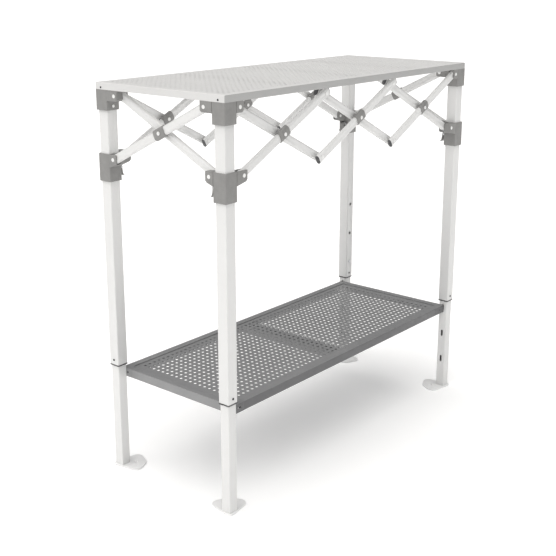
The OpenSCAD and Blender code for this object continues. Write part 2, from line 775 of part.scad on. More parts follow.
module crossing_sleeves() {
  color("#8c8c8a") {
    for (i = [0:long_crossings - 1]) {
      front_side(outer_layer) sleeve_on(rising_start(i), rising_end(i), cross_share(i));
      back_side(inner_layer) sleeve_on(rising_start(i), rising_end(i), cross_share(i));
    }
    left_side(outer_layer) sleeve_on(to_front_low, to_front_high, short_share);
    right_side(inner_layer) sleeve_on(to_front_low, to_front_high, short_share);
  }
}

module sleeve_on(p, q, share) {
  laid(p, q) translate([span(p, q) * share, 0, 0]) sleeve();
}

// Oval plug in a free end of a bar; it points along +X
module plug() {
  rotate([90, 0, 90]) {
    linear_extrude(plug_flange) stadium(bar_t, bar_h);
    translate([0, 0, -plug_insert]) linear_extrude(plug_insert + eps)
      stadium(bar_t - 2 * bar_wall - plug_clr, bar_h - 2 * bar_wall - plug_clr);
  }
}

module plugs_on(p, q, first, last) {
  laid(p, q) {
    if (first) translate([-bar_past_joint, 0, 0]) rotate(180) plug();
    if (last) translate([span(p, q) + bar_past_joint, 0, 0]) plug();
  }
}

module bar_plugs() {
  color("#58595b") for (i = [0:long_crossings - 1]) {
    first = i > 0;
    last = i < long_crossings - 1;
    front_side(outer_layer) plugs_on(rising_start(i), rising_end(i), first, last);
    front_side(inner_layer) plugs_on(falling_start(i), falling_end(i), first, last);
    back_side(inner_layer) plugs_on(rising_start(i), rising_end(i), first, last);
    back_side(outer_layer) plugs_on(falling_start(i), falling_end(i), first, last);
  }
}

// Rivet along +Y between two depths, with a head at each end
module rivet_y(from_y, to_y) {
  translate([0, from_y, 0]) {
    translate([0, -eps, 0]) rod_y(rivet_r, to_y - from_y + 2 * eps);
    translate([0, -rivet_head_h, 0]) rod_y(rivet_head_r, rivet_head_h);
    translate([0, to_y - from_y, 0]) rod_y(rivet_head_r, rivet_head_h);
  }
}

// Washer along +Y with the rivet's hole
module washer_y(from_y, to_y) {
  difference() {
    translate([0, from_y, 0]) rod_y(washer_r, to_y - from_y);
    translate([0, from_y - 1, 0]) rod_y(rivet_r + rivet_clr, to_y - from_y + 2);
  }
}

// Rivet and washer of a crossing, seen from the outer layer's side.
// sleeve_first tells whether the sleeve is on the outer layer.
module crossing_rivet(sleeve_first) {
  outer_face = outer_layer - (sleeve_first ? sleeve_t : bar_t) / 2;
  inner_face = inner_layer + (sleeve_first ? bar_t : sleeve_t) / 2;
  rivet_y(outer_face, inner_face);
  if (sleeve_first) washer_y(outer_layer + sleeve_t / 2, inner_layer - bar_t / 2);
  else washer_y(outer_layer + bar_t / 2, inner_layer - sleeve_t / 2);
}

// Rivet and washer of a free joint
module joint_rivet() {
  rivet_y(outer_layer - bar_t / 2, inner_layer + bar_t / 2);
  washer_y(outer_layer + bar_t / 2, inner_layer - bar_t / 2);
}

module at_point(p) {
  translate([p[0], 0, p[1]]) children();
}

module scissor_rivets() {
  color("#e4e4e2") {
    for (i = [0:long_crossings - 1]) {
      front_side(0) at_point(crossing(i)) crossing_rivet(true);
      back_side(0) at_point(crossing(i)) mirror([0, 1, 0]) crossing_rivet(false);
      if (i > 0) for (p = [rising_start(i), falling_start(i)]) {
        front_side(0) at_point(p) joint_rivet();
        back_side(0) at_point(p) mirror([0, 1, 0]) joint_rivet();
      }
    }
    left_side(0) at_point(short_crossing) mirror([0, 1, 0]) crossing_rivet(true);
    right_side(0) at_point(short_crossing) crossing_rivet(false);
  }
}

// Rivets that hold the bars in the ears and the brackets on the legs
module bracket_rivets() {
  color("#e8e8e6") for (c = CORNERS) at_corner(c) {
    translate([top_pivot_x, 0, top_pivot_z])
      rivet_y(rivet_head_h, ear_depth(bracket_long_layer(c)));
    translate([slider_pivot_x, 0, slider_pivot_z]) slider_rivet(slider_long_layer(c));
    swap_sides() {
      translate([top_pivot_y, 0, top_pivot_z])
        rivet_y(rivet_head_h, ear_depth(bracket_short_layer(c)));
      translate([slider_pivot_y, 0, slider_pivot_z]) slider_rivet(slider_short_layer(c));
    }
    on_leg_face(1) translate([upper_tube / 2 - tube_wall, 0, bracket_bottom + bracket_h / 5]) {
      rod_x(rivet_r, bracket_wall + fit_clr + tube_wall + eps);
      translate([bracket_wall + fit_clr + tube_wall, 0, 0]) rod_x(rivet_head_r - 1, rivet_head_h);
    }
  }
}

module slider_rivet(layer) {
  rivet_y(rivet_head_h, ear_depth(layer));
}

// ---------- shelf ----------

// Rail of the shelf along +X from x = 0: a channel that opens along +Y
module rail(length) {
  difference() {
    cube([length, rail_w, shelf_h]);
    translate([-1, rail_sheet, rail_sheet]) cube([length + 2, rail_w, shelf_h - 2 * rail_sheet]);
  }
}

module shelf_rails() {
  long_len = 2 * (shelf_half_x - corner_x);
  short_len = 2 * (shelf_half_y - corner_y);
  color("#85868a") {
    translate([-long_len / 2, -shelf_half_y, shelf_bottom]) rail(long_len);
    translate([long_len / 2, shelf_half_y, shelf_bottom]) rotate(180) rail(long_len);
    translate([-shelf_half_x, short_len / 2, shelf_bottom]) rotate(-90) rail(short_len);
    translate([shelf_half_x, -short_len / 2, shelf_bottom]) rotate(90) rail(short_len);
  }
}

// Channel beside the seam, open upwards, with its ends inside the long rails
module shelf_crossbar() {
  length = 2 * (shelf_half_y - rail_sheet - fit_clr);
  height = panel_top - panel_sheet - fit_clr - shelf_bottom - rail_sheet - fit_clr;
  color("#7d7e82") translate([-cross_off - cross_w, -length / 2, shelf_bottom + rail_sheet + fit_clr])
    difference() {
      cube([cross_w, length, height]);
      translate([rail_sheet, -1, rail_sheet])
        cube([cross_w - 2 * rail_sheet, length + 2, height]);
    }
}

module shelf_panel(from_x, to_x) {
  color("#8a8b8f") translate([from_x, -panel_half_y, panel_top - panel_sheet])
    cube([to_x - from_x, 2 * panel_half_y, panel_sheet]);
}

// Corner piece of the shelf with its windows and the hook that enters the leg
module shelf_corner() {
  hook_in = 2 + hook_t / 2;
  translate([shelf_end, shelf_face, shelf_bottom]) difference() {
    union() {
      cube([corner_x, rail_w, shelf_h]);
      cube([rail_w, corner_y, shelf_h]);
    }
    translate([corner_wall, corner_wall, -1])
      cube([corner_x, rail_w, shelf_h + 1 - rail_sheet]);
    translate([corner_wall, corner_wall, -1])
      cube([rail_w, corner_y, shelf_h + 1 - rail_sheet]);
    // windows
    translate([corner_x * 0.45, -1, shelf_h * 0.42])
      cube([corner_x * 0.28, corner_wall + 2, shelf_h * 0.22]);
    translate([-1, corner_y * 0.45, shelf_h * 0.42])
      cube([corner_wall + 2, corner_y * 0.28, shelf_h * 0.22]);
  }
  // hook through the slot, with a lip behind the wall
  translate([lower_face - tube_wall - hook_in, leg_c - hook_t / 2 + 0.3, hook_z + 0.2])
    cube([shelf_end + 1 - lower_face + tube_wall + hook_in, hook_t - 0.3, hook_h]);
  translate([lower_face - tube_wall - hook_in, leg_c - hook_t / 2 + 0.3, hook_z - hook_lip])
    cube([hook_in - 0.5, hook_t - 0.3, hook_lip + 1]);
}

module shelf_corners() {
  color("#77787b") for (c = CORNERS) at_corner(c) shelf_corner();
}

// ---------- small screws ----------

// Screw along +X whose head starts at x = 0
module screw_x(length) {
  rod_x(screw_head_r, screw_head_h);
  translate([-length, 0, 0]) rod_x(screw_r, length + eps);
}

// Screws of the bushings, and the flush ones through the worktop's edge into the tenons
module small_screws() {
  top_screw_len = leg_c - tenon_size / 2 + 7;
  color("#4a4b4d") for (c = CORNERS) at_corner(c) {
    on_leg_face(bushing_face(c))
      translate([upper_tube / 2, 0, upper_tube_bottom + bushing_collar / 2])
        screw_x(tube_wall + 0.5);
    translate([0, leg_c, bracket_top + tenon_h / 2]) rod_x(screw_r, top_screw_len);
  }
}

// ---------- parts ----------

top_panel();
top_ribs();
top_bracket(FRONT_LEFT);  // top_bracket_front_left
top_bracket(FRONT_RIGHT);  // top_bracket_front_right
top_bracket(BACK_LEFT);  // top_bracket_back_left
top_bracket(BACK_RIGHT);  // top_bracket_back_right
slider(FRONT_LEFT);  // slider_front_left
slider(FRONT_RIGHT);  // slider_front_right
slider(BACK_LEFT);  // slider_back_left
slider(BACK_RIGHT);  // slider_back_right
latch_lever(FRONT_LEFT);  // latch_lever_front_left
latch_lever(FRONT_RIGHT);  // latch_lever_front_right
latch_lever(BACK_LEFT);  // latch_lever_back_left
latch_lever(BACK_RIGHT);  // latch_lever_back_right
latch_pins();
latch_springs();
upper_leg(FRONT_LEFT);  // upper_leg_front_left
upper_leg(FRONT_RIGHT);  // upper_leg_front_right
upper_leg(BACK_LEFT);  // upper_leg_back_left
upper_leg(BACK_RIGHT);  // upper_leg_back_right
lower_leg(FRONT_LEFT);  // lower_leg_front_left
lower_leg(FRONT_RIGHT);  // lower_leg_front_right
lower_leg(BACK_LEFT);  // lower_leg_back_left
lower_leg(BACK_RIGHT);  // lower_leg_back_right
snap_button(FRONT_LEFT);  // snap_button_front_left
snap_button(FRONT_RIGHT);  // snap_button_front_right
snap_button(BACK_LEFT);  // snap_button_back_left
snap_button(BACK_RIGHT);  // snap_button_back_right
leg_bushings();
foot(FRONT_LEFT);  // foot_front_left
foot(FRONT_RIGHT);  // foot_front_right
foot(BACK_LEFT);  // foot_back_left
foot(BACK_RIGHT);  // foot_back_right
white() front_side(outer_layer) rising_bar(0);  // front_rising_bar_1
white() front_side(outer_layer) rising_bar(1);  // front_rising_bar_2
white() front_side(outer_layer) rising_bar(2);  // front_rising_bar_3
white() front_side(inner_layer) falling_bar(0);  // front_falling_bar_1
white() front_side(inner_layer) falling_bar(1);  // front_falling_bar_2
white() front_side(inner_layer) falling_bar(2);  // front_falling_bar_3
white() back_side(inner_layer) rising_bar(0);  // back_rising_bar_1
white() back_side(inner_layer) rising_bar(1);  // back_rising_bar_2
white() back_side(inner_layer) rising_bar(2);  // back_rising_bar_3
white() back_side(outer_layer) falling_bar(0);  // back_falling_bar_1
white() back_side(outer_layer) falling_bar(1);  // back_falling_bar_2
white() back_side(outer_layer) falling_bar(2);  // back_falling_bar_3
white() left_side(outer_layer) short_bar(to_front_low, to_front_high);  // left_bar_to_front
white() left_side(inner_layer) short_bar(to_back_low, to_back_high);  // left_bar_to_back
white() right_side(inner_layer) short_bar(to_front_low, to_front_high);  // right_bar_to_front
white() right_side(outer_layer) short_bar(to_back_low, to_back_high);  // right_bar_to_back
crossing_sleeves();
bar_plugs();
scissor_rivets();
bracket_rivets();
small_screws();
shelf_rails();
shelf_crossbar();
shelf_panel(-panel_half_x, -panel_seam / 2);  // shelf_panel_left
shelf_panel(panel_seam / 2, panel_half_x);  // shelf_panel_right
shelf_corners();
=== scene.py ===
"""Looks of the camp kitchen table, built on its fixed frame.

The perforated worktop and shelf are new pieces with real holes. The moulded, painted
and riveted parts are softened copies of the frame's own parts. Every length here is in
metres unless its name ends in _mm.
"""

import logging
import math
from dataclasses import dataclass
from enum import Enum
from typing import Callable

import bpy
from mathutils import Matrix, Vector


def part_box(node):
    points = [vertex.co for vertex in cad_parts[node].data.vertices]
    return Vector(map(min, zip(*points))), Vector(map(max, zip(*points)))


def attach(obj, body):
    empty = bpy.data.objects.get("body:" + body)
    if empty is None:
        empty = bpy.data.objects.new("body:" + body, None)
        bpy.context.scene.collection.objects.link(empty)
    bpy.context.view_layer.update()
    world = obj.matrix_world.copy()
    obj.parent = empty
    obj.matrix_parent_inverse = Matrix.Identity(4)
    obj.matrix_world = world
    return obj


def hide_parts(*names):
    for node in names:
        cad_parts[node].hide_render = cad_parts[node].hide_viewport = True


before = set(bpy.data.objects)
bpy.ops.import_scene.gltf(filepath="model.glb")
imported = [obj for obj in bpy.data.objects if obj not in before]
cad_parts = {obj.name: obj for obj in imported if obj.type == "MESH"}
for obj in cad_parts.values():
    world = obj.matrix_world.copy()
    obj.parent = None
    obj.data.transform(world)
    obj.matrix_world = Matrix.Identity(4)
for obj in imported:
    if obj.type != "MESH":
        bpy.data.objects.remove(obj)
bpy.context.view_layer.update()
MM = 0.001
LOG = logging.getLogger("camp_table")
Colour = tuple[float, float, float]

# Sockets of the Mix node that carry colours: its names are shared with other data types.
MIX_FIRST, MIX_SECOND, MIX_RESULT = 6, 7, 2

PITCH = 14.7 * MM
HOLE_R = 3.3 * MM
LEVEL = 1e-5
WELD = 2e-5
CAD_WELD = 2e-6
COPLANAR_DEGREES = 0.4


class Slot(Enum):
    """Finish slots of the table's record."""

    WORKTOP = "worktop_paint"
    ALUMINIUM = "bare_aluminium"
    GREY_PLASTIC = "grey_plastic"
    DARK_PLASTIC = "dark_plastic"
    ZINC = "zinc_steel"
    RIVET = "rivet_steel"
    SCREW = "black_screws"
    SHELF = "shelf_paint"
    WHITE = "white_paint"


class Corner(Enum):
    """The table's four corners."""

    FRONT_LEFT = "front_left"
    FRONT_RIGHT = "front_right"
    BACK_LEFT = "back_left"
    BACK_RIGHT = "back_right"


# ---------- finishes ----------


class NodeGraph:
    """One node material under construction, on the piece's own Object coordinates."""

    def __init__(self, name: str) -> None:
        """Starts a material with one shader.

        Args:
            name: The material's name.
        """
        self.material = bpy.data.materials.new(name)
        self.material.use_nodes = True
        self.tree = self.material.node_tree
        self.tree.nodes.clear()
        self.shader = self.add("ShaderNodeBsdfPrincipled")
        self.coords = self.add("ShaderNodeTexCoord").outputs["Object"]
        output = self.add("ShaderNodeOutputMaterial")
        self.link(self.shader.outputs["BSDF"], output.inputs["Surface"])

    def add(self, kind: str) -> bpy.types.Node:
        """Adds a node of the given kind."""
        return self.tree.nodes.new(kind)

    def link(self, source: bpy.types.NodeSocket, target: bpy.types.NodeSocket) -> None:
        """Joins two sockets."""
        self.tree.links.new(source, target)

    def set(self, **values: float | Colour) -> None:
        """Sets the shader's own sockets, named with underscores for spaces."""
        for key, value in values.items():
            socket = self.shader.inputs[key.replace("_", " ")]
            socket.default_value = (*value, 1.0) if isinstance(value, tuple) else value

    def noise(self, size_mm: float, detail: float = 2.0,
              stretch: Colour = (1.0, 1.0, 1.0)) -> bpy.types.NodeSocket:
        """Adds a cloudy pattern.

        Args:
            size_mm: Rough size of one blot.
            detail: Octaves of finer blots.
            stretch: How much longer a blot is along X, Y and Z.

        Returns:
            The pattern's value, around 0.5.
        """
        mapping = self.add("ShaderNodeMapping")
        mapping.inputs["Scale"].default_value = tuple(1.0 / s for s in stretch)
        self.link(self.coords, mapping.inputs["Vector"])
        noise = self.add("ShaderNodeTexNoise")
        noise.inputs["Scale"].default_value = 1.0 / (size_mm * MM)
        noise.inputs["Detail"].default_value = detail
        self.link(mapping.outputs["Vector"], noise.inputs["Vector"])
        return noise.outputs["Fac"]

    def cells(self, size_mm: float) -> bpy.types.NodeSocket:
        """Adds a pattern of rounded cells and returns the distance to each cell's middle."""
        cells = self.add("ShaderNodeTexVoronoi")
        cells.inputs["Scale"].default_value = 1.0 / (size_mm * MM)
        self.link(self.coords, cells.inputs["Vector"])
        return cells.outputs["Distance"]

    def spread(self, source: bpy.types.NodeSocket, low: float, high: float,
               start: float = 0.3, stop: float = 0.7) -> bpy.types.NodeSocket:
        """Maps a value from start..stop to low..high, held at both ends.

        Args:
            source: The value.
            low: Result at start.
            high: Result at stop.
            start: Value that gives low.
            stop: Value that gives high.

        Returns:
            The mapped value.
        """
        ramp = self.add("ShaderNodeMapRange")
        for key, value in (("From Min", start), ("From Max", stop),
                           ("To Min", low), ("To Max", high)):
            ramp.inputs[key].default_value = value
        self.link(source, ramp.inputs["Value"])
        return ramp.outputs["Result"]

    def product(self, first: bpy.types.NodeSocket,
                second: bpy.types.NodeSocket) -> bpy.types.NodeSocket:
        """Multiplies two values."""
        times = self.add("ShaderNodeMath")
        times.operation = "MULTIPLY"
        self.link(first, times.inputs[0])
        self.link(second, times.inputs[1])
        return times.outputs["Value"]

    def height(self) -> bpy.types.NodeSocket:
        """Returns the Z of the piece's Object coordinates."""
        parts = self.add("ShaderNodeSeparateXYZ")
        self.link(self.coords, parts.inputs["Vector"])
        return parts.outputs["Z"]

    def blend(self, share: bpy.types.NodeSocket, first: Colour | bpy.types.NodeSocket,
              second: Colour) -> bpy.types.NodeSocket:
        """Mixes two colours.

        Args:
            share: Share of the second colour, from 0 to 1.
            first: A colour, or a socket that gives one.
            second: A colour.

        Returns:
            The mixed colour.
        """
        mix = self.add("ShaderNodeMix")
        mix.data_type = "RGBA"
        self.link(share, mix.inputs["Factor"])
        if isinstance(first, tuple):
            mix.inputs[MIX_FIRST].default_value = (*first, 1.0)
        else:
            self.link(first, mix.inputs[MIX_FIRST])
        mix.inputs[MIX_SECOND].default_value = (*second, 1.0)
        return mix.outputs[MIX_RESULT]

    def bump(self, height: bpy.types.NodeSocket, depth_mm: float, strength: float,
             under: bpy.types.NodeSocket | None = None) -> bpy.types.NodeSocket:
        """Turns a height into a surface relief.

        Args:
            height: The height, from 0 to 1.
            depth_mm: Depth of the relief.
            strength: How much of it shows, from 0 to 1.
            under: Relief that it lies on.

        Returns:
            The normal.
        """
        relief = self.add("ShaderNodeBump")
        relief.inputs["Strength"].default_value = strength
        relief.inputs["Distance"].default_value = depth_mm * MM
        self.link(height, relief.inputs["Height"])
        if under is not None:
            self.link(under, relief.inputs["Normal"])
        return relief.outputs["Normal"]

    def finish(self, colour: bpy.types.NodeSocket, roughness: bpy.types.NodeSocket,
               normal: bpy.types.NodeSocket) -> bpy.types.Material:
        """Joins colour, roughness and relief to the shader and returns the material."""
        self.link(colour, self.shader.inputs["Base Color"])
        self.link(roughness, self.shader.inputs["Roughness"])
        self.link(normal, self.shader.inputs["Normal"])
        return self.material


def scaled(colour: Colour, share: float) -> Colour:
    """Returns a colour with each channel times share."""
    return tuple(min(1.0, c * share) for c in colour)


@dataclass(frozen=True)
class PowderCoat:
    """Baked paint with fine orange peel, slight shade drift, scuffs and dust at the floor."""

    name: str
    colour: Colour
    roughness: float = 0.42
    peel_mm: float = 1.6
    peel_depth_mm: float = 0.05
    grain_mm: float = 0.45
    drift: float = 0.035
    speck: float = 0.06
    scuff: float = 0.5
    scuff_colour: Colour = (0.45, 0.44, 0.42)
    dust_height: float = 0.06
    dust: float = 0.35

    def make(self) -> bpy.types.Material:
        """Builds the material and returns it."""
        g = NodeGraph(self.name)
        g.set(Specular_IOR_Level=0.45, Coat_Weight=0.12, Coat_Roughness=0.22)
        drift = g.spread(g.noise(70, 3), 0.0, 1.0)
        colour = g.blend(drift, scaled(self.colour, 1 - self.drift),
                         scaled(self.colour, 1 + self.drift))
        speck = g.spread(g.noise(self.grain_mm * 2, 2), 0.0, self.speck, 0.56, 0.72)
        colour = g.blend(speck, colour, scaled(self.colour, 0.72))
        # short rubbed marks, where long blots and small blots meet
        rub = g.product(g.spread(g.noise(2.2, 4, (1.0, 1.0, 3.0)), 0.0, 1.0, 0.66, 0.76),
                        g.spread(g.noise(70, 2), 0.0, self.scuff, 0.55, 0.7))
        colour = g.blend(rub, colour, self.scuff_colour)
        dust = g.product(g.spread(g.height(), self.dust, 0.0, 0.0, self.dust_height),
                         g.spread(g.noise(9, 5), 0.0, 1.0, 0.42, 0.7))
        colour = g.blend(dust, colour, (0.50, 0.47, 0.42))
        roughness = g.spread(g.noise(18, 4), self.roughness - 0.07, self.roughness + 0.09)
        peel = g.bump(g.noise(self.peel_mm, 1.5), self.peel_depth_mm, 0.55)
        normal = g.bump(g.noise(self.grain_mm, 2), self.peel_depth_mm * 0.35, 0.5, peel)
        return g.finish(colour, roughness, normal)


@dataclass(frozen=True)
class MouldedPlastic:
    """Nylon moulding with a spark-eroded grain, flow clouds and polished patches."""

    name: str
    colour: Colour
    roughness: float = 0.5
    grain_mm: float = 0.5
    grain_depth_mm: float = 0.06
    cloud: float = 0.06

    def make(self) -> bpy.types.Material:
        """Builds the material and returns it."""
        g = NodeGraph(self.name)
        g.set(Specular_IOR_Level=0.42)
        cloud = g.spread(g.noise(14, 4), 0.0, 1.0)
        colour = g.blend(cloud, scaled(self.colour, 1 - self.cloud),
                         scaled(self.colour, 1 + self.cloud))
        fibre = g.spread(g.noise(1.1, 3, (1.0, 1.0, 2.5)), 0.0, 0.16, 0.58, 0.74)
        colour = g.blend(fibre, colour, scaled(self.colour, 1.35))
        polish = g.spread(g.noise(22, 3), self.roughness - 0.1, self.roughness + 0.08, 0.35, 0.6)
        grain = g.bump(g.cells(self.grain_mm), self.grain_depth_mm, 0.4)
        normal = g.bump(g.noise(3.5, 2), 0.12, 0.15, grain)
        return g.finish(colour, polish, normal)


@dataclass(frozen=True)
class BareMetal:
    """Plated or bare metal with drawn lines and slight staining."""

    name: str
    colour: Colour
    roughness: float = 0.34
    metallic: float = 1.0
    line_mm: float = 0.3
    run: Colour = (1.0, 12.0, 1.0)
    stain: float = 0.2

    def make(self) -> bpy.types.Material:
        """Builds the material and returns it."""
        g = NodeGraph(self.name)
        g.set(Metallic=self.metallic)
        stain = g.spread(g.noise(6, 4), 0.0, self.stain, 0.5, 0.75)
        colour = g.blend(stain, self.colour, scaled(self.colour, 0.6))
        lines = g.noise(self.line_mm, 3, self.run)
        roughness = g.spread(lines, self.roughness - 0.08, self.roughness + 0.12)
        return g.finish(colour, roughness, g.bump(lines, 0.02, 0.35))


FINISHES: dict[Slot, PowderCoat | MouldedPlastic | BareMetal] = {
    Slot.WORKTOP: PowderCoat("worktop_coat", (0.675, 0.671, 0.664), roughness=0.48, peel_mm=1.2,
                             drift=0.02, scuff=0.25, scuff_colour=(0.36, 0.355, 0.35), dust=0.0),
    Slot.ALUMINIUM: BareMetal("mill_aluminium", (0.62, 0.62, 0.63), roughness=0.42),
    Slot.GREY_PLASTIC: MouldedPlastic("bracket_nylon", (0.262, 0.259, 0.253)),
    Slot.DARK_PLASTIC: MouldedPlastic("plug_nylon", (0.085, 0.085, 0.088), roughness=0.46),
    Slot.ZINC: BareMetal("zinc_plate", (0.66, 0.67, 0.69), roughness=0.36),
    Slot.RIVET: BareMetal("rivet_lacquer", (0.86, 0.86, 0.85), roughness=0.4, metallic=0.35,
                          stain=0.12),
    Slot.SCREW: BareMetal("black_oxide", (0.028, 0.028, 0.030), roughness=0.42, metallic=0.7,
                          stain=0.3),
    Slot.SHELF: PowderCoat("shelf_coat", (0.228, 0.229, 0.233), roughness=0.46, peel_mm=1.3,
                           drift=0.04, scuff=0.3, scuff_colour=(0.32, 0.32, 0.32), dust=0.0),
    Slot.WHITE: PowderCoat("leg_coat", (0.765, 0.765, 0.758), roughness=0.36, drift=0.012,
                           speck=0.03, scuff=0.16, dust=0.05),
}
PAINTS: dict[Slot, bpy.types.Material] = {}

# Coats of single pieces, and coats whose colour paints light and shade on the sides of a piece;
# they keep the slot of the piece they are on.
FOOT_COAT = PowderCoat("foot_coat", (0.86, 0.86, 0.86), roughness=0.45, drift=0.012, speck=0.03,
                       scuff=0.1, dust=0.03)
# Painted shade: the worktop rim's long ±Y sides get a darker grey than its top, standing in for the
# shade on those sides.
LONG_RIM_PAINTED_SHADE = PowderCoat("worktop_long_rim_painted_shade", (0.43, 0.43, 0.425), roughness=0.5, peel_mm=1.2,
                      drift=0.02, scuff=0.25, scuff_colour=(0.3, 0.3, 0.3), dust=0.0)
# Painted shade: the shelf rails' long ±Y sides get a darker grey than the shelf, standing in for
# the shade on those sides.
LONG_RAIL_PAINTED_SHADE = PowderCoat("shelf_long_rail_painted_shade", (0.135, 0.136, 0.14), roughness=0.5, peel_mm=1.3,
                       drift=0.04, scuff=0.3, scuff_colour=(0.25, 0.25, 0.25), dust=0.0)
# Painted light: the shelf rails' short ±X sides get a lighter grey than the shelf, standing in for
# the light on those sides.
SHORT_RAIL_PAINTED_LIGHT = PowderCoat("shelf_short_rail_painted_light", (0.275, 0.276, 0.28), roughness=0.42, peel_mm=1.3,
                        drift=0.04, scuff=0.3, scuff_colour=(0.36, 0.36, 0.36), dust=0.0)


def paint(piece: bpy.types.Object, slot: Slot) -> None:
    """Gives a piece the finish of a slot, made once for all its pieces."""
    if slot not in PAINTS:
        PAINTS[slot] = FINISHES[slot].make()
    piece.data.materials.clear()
    piece.data.materials.append(PAINTS[slot])


# ---------- modelling ----------


def clear_selection() -> None:
    """Leaves edit mode and deselects everything."""
    if bpy.context.object and bpy.context.object.mode != "OBJECT":
        bpy.ops.object.mode_set(mode="OBJECT")
    bpy.ops.object.select_all(action="DESELECT")


def take(piece: bpy.types.Object) -> None:
    """Makes a piece the only selected one and the active one."""
    clear_selection()
    piece.select_set(True)
    bpy.context.view_layer.objects.active = piece


class Pick(Enum):
    """What a selection takes."""

    VERTS = "VERT"
    EDGES = "EDGE"
    FACES = "FACE"


def pick(piece: bpy.types.Object, kind: Pick, wanted: Callable[[Vector, Vector], bool]) -> int:
    """Enters edit mode with only the wanted elements selected.

    Args:
        piece: The mesh object.
        kind: What is selected.
        wanted: Test of an element's lowest and highest corner.

    Returns:
        How many elements are selected.
    """
    take(piece)
    bpy.ops.object.mode_set(mode="EDIT")
    bpy.ops.mesh.select_mode(type=kind.value)
    bpy.ops.mesh.select_all(action="DESELECT")
    bpy.ops.object.mode_set(mode="OBJECT")
    mesh = piece.data
    place = [v.co for v in mesh.vertices]
    if kind is Pick.VERTS:
        found = [v for v in mesh.vertices if wanted(v.co, v.co)]
    else:
        elements = mesh.edges if kind is Pick.EDGES else mesh.polygons
        found = []
        for element in elements:
            corners = [place[i] for i in element.vertices]
            low = Vector(tuple(min(c[k] for c in corners) for k in range(3)))
            high = Vector(tuple(max(c[k] for c in corners) for k in range(3)))
            if wanted(low, high):
                found.append(element)
    for element in found:
        element.select = True
    bpy.ops.object.mode_set(mode="EDIT")
    return len(found)


def at(low: float, high: float, value: float) -> bool:
    """Whether a span lies at one value, within a hundredth of a millimetre."""
    return abs(low - value) < LEVEL and abs(high - value) < LEVEL


def apply_all(piece: bpy.types.Object) -> None:
    """Applies every modifier of a piece, in order."""
    take(piece)
    for modifier in list(piece.modifiers):
        bpy.ops.object.modifier_apply(modifier=modifier.name)


def smooth(piece: bpy.types.Object, degrees: float = 32) -> None:
    """Shades a piece smooth, with edges sharper than the angle left crisp."""
    take(piece)
    bpy.ops.object.shade_smooth_by_angle(angle=math.radians(degrees))


def settle(piece: bpy.types.Object, slot: Slot, body: str, *nodes: str) -> bpy.types.Object:
    """Paints a piece, fixes it to its body and lets it stand for frame parts.

    Args:
        piece: The finished mesh object.
        slot: Its finish.
        body: The body that it moves with.
        nodes: The frame parts that it replaces.

    Returns:
        The piece.
    """
    clear_selection()
    paint(piece, slot)
    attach(piece, body)
    if nodes:
        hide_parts(*nodes)
    LOG.info("%s: %d faces on %s", piece.name, len(piece.data.polygons), body)
    return piece


def softened(node: str, slot: Slot, body: str = "frame", edge_mm: float = 0.6,
             steps: int = 2, degrees: float = 40) -> bpy.types.Object:
    """Copies a frame part, joins its triangles and rounds its sharp edges.

    Args:
        node: The frame part.
        slot: Its finish.
        body: The body that it moves with.
        edge_mm: Width of the rounding.
        steps: Segments of the rounding.
        degrees: Edges sharper than this are rounded.

    Returns:
        The copy, which replaces the part.
    """
    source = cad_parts[node]
    clear_selection()
    piece = bpy.data.objects.new(f"{node}_soft", source.data.copy())
    bpy.context.scene.collection.objects.link(piece)
    take(piece)
    if piece.data.has_custom_normals:
        bpy.ops.mesh.customdata_custom_splitnormals_clear()
    bpy.ops.object.mode_set(mode="EDIT")
    bpy.ops.mesh.select_all(action="SELECT")
    bpy.ops.mesh.remove_doubles(threshold=CAD_WELD)
    bpy.ops.mesh.dissolve_limited(angle_limit=math.radians(COPLANAR_DEGREES))
    bpy.ops.object.mode_set(mode="OBJECT")
    if edge_mm > 0:
        bevel = piece.modifiers.new("edge", "BEVEL")
        bevel.width = edge_mm * MM
        bevel.segments = steps
        bevel.limit_method = "ANGLE"
        bevel.angle_limit = math.radians(degrees)
        bevel.use_clamp_overlap = True
        apply_all(piece)
    smooth(piece)
    return settle(piece, slot, body, node)


def rounded_disc(name: str, place: Vector, radius: float, height: float, edge: float,
                 sides: int = 24) -> bpy.types.Object:
    """Models a low disc along -X with a domed edge, such as a screw's head.

    Args:
        name: The piece's name.
        place: Middle of its seat.
        radius: Its radius.
        height: Its height.
        edge: Rounding of its outer edge.
        sides: Its sides.

    Returns:
        The piece.
    """
    clear_selection()
    bpy.ops.mesh.primitive_cylinder_add(vertices=sides, radius=radius, depth=height,
                                        location=place - Vector((height / 2, 0, 0)),
                                        rotation=(0, math.pi / 2, 0))
    piece = bpy.context.object
    piece.name = name
    bpy.ops.object.transform_apply(location=True, rotation=True, scale=True)
    outer = place.x - height
    pick(piece, Pick.EDGES, lambda lo, hi: at(lo.x, hi.x, outer))
    bpy.ops.mesh.bevel(offset=edge, segments=3, affect="EDGES")
    bpy.ops.object.mode_set(mode="OBJECT")
    return piece


def paint_side_light_and_shade(piece: bpy.types.Object, coat: PowderCoat, axis: int, outside: float) -> None:
    """Paints the outer faces of a piece's two sides with their own coat: painted light where the
    coat is lighter than the piece, painted shade where it is darker.

    Args:
        piece: The piece, already painted and at rest.
        coat: The coat, whose colour paints the light and shade of those sides.
        axis: 0 for the sides across X, 1 for those across Y.
        outside: Distance from the middle past which a face is an outer one.
    """
    piece.data.materials.append(coat.make())
    last = len(piece.data.materials) - 1
    for face in piece.data.polygons:
        if abs(face.normal[axis]) > 0.6 and abs(face.center[axis]) > outside:
            face.material_index = last


# ---------- perforated sheets ----------


